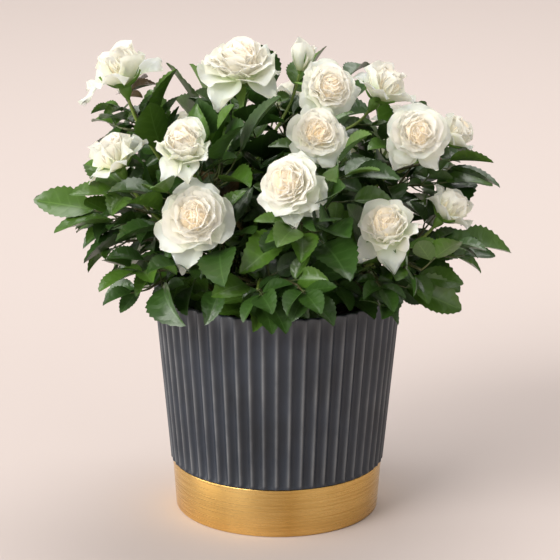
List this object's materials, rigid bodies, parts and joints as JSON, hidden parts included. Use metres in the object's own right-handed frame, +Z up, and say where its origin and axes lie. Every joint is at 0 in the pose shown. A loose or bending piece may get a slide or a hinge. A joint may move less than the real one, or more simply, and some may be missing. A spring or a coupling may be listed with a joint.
{
  "type": "potted rose bush",
  "caption": "Miniature rose bush with cream-white double blooms and glossy leaves, growing in a ribbed slate-grey pot with a brushed gold foot band.",
  "frame": {"origin": "centre of the pot's flat underside", "axes": "+Z up, -Y towards the viewer of the picture, +X to the viewer's right"},
  "size_m": [0.2713, 0.2374, 0.2685],
  "materials": {
    "slate_glaze": "satin matt",
    "brushed_gold": "brushed round the pot",
    "compost": "loose and matt",
    "green_bark": "smooth living bark",
    "foliage": "glossy leaves, soft petals"
  },
  "bodies": {
    "root": {"bough_back_left": "green_bark", "bough_back_left_low": "green_bark", "bough_back_right": "green_bark", "bough_back_right_top": "green_bark", "bough_back_top": "green_bark", "bough_front_right": "green_bark", "bough_left_top": "green_bark", "bough_right": "green_bark", "bough_skirt_back_left": "green_bark", "bough_skirt_back_right": "green_bark", "bough_skirt_front": "green_bark", "bough_skirt_left": "green_bark", "bough_skirt_right": "green_bark", "bough_top_right": "green_bark", "bough_upper_left": "green_bark", "cane_back": "green_bark", "cane_front_left": "green_bark", "cane_front_right": "green_bark", "cane_left": "green_bark", "cane_middle": "green_bark", "cane_right": "green_bark", "compost": "compost", "foliage_back": "foliage", "foliage_back_left": "foliage", "foliage_back_left_low": "foliage", "foliage_back_right": "foliage", "foliage_back_right_top": "foliage", "foliage_back_top": "foliage", "foliage_front": "foliage", "foliage_front_left": "foliage", "foliage_front_right": "foliage", "foliage_left": "foliage", "foliage_left_top": "foliage", "foliage_right": "foliage", "foliage_right_top": "foliage", "foliage_skirt_back_left": "foliage", "foliage_skirt_back_right": "foliage", "foliage_skirt_front": "foliage", "foliage_skirt_left": "foliage", "foliage_skirt_right": "foliage", "foliage_top": "foliage", "foliage_top_right": "foliage", "foliage_upper_left": "foliage", "gold_band": "brushed_gold", "pot": "slate_glaze"}
  },
  "joints": []
}
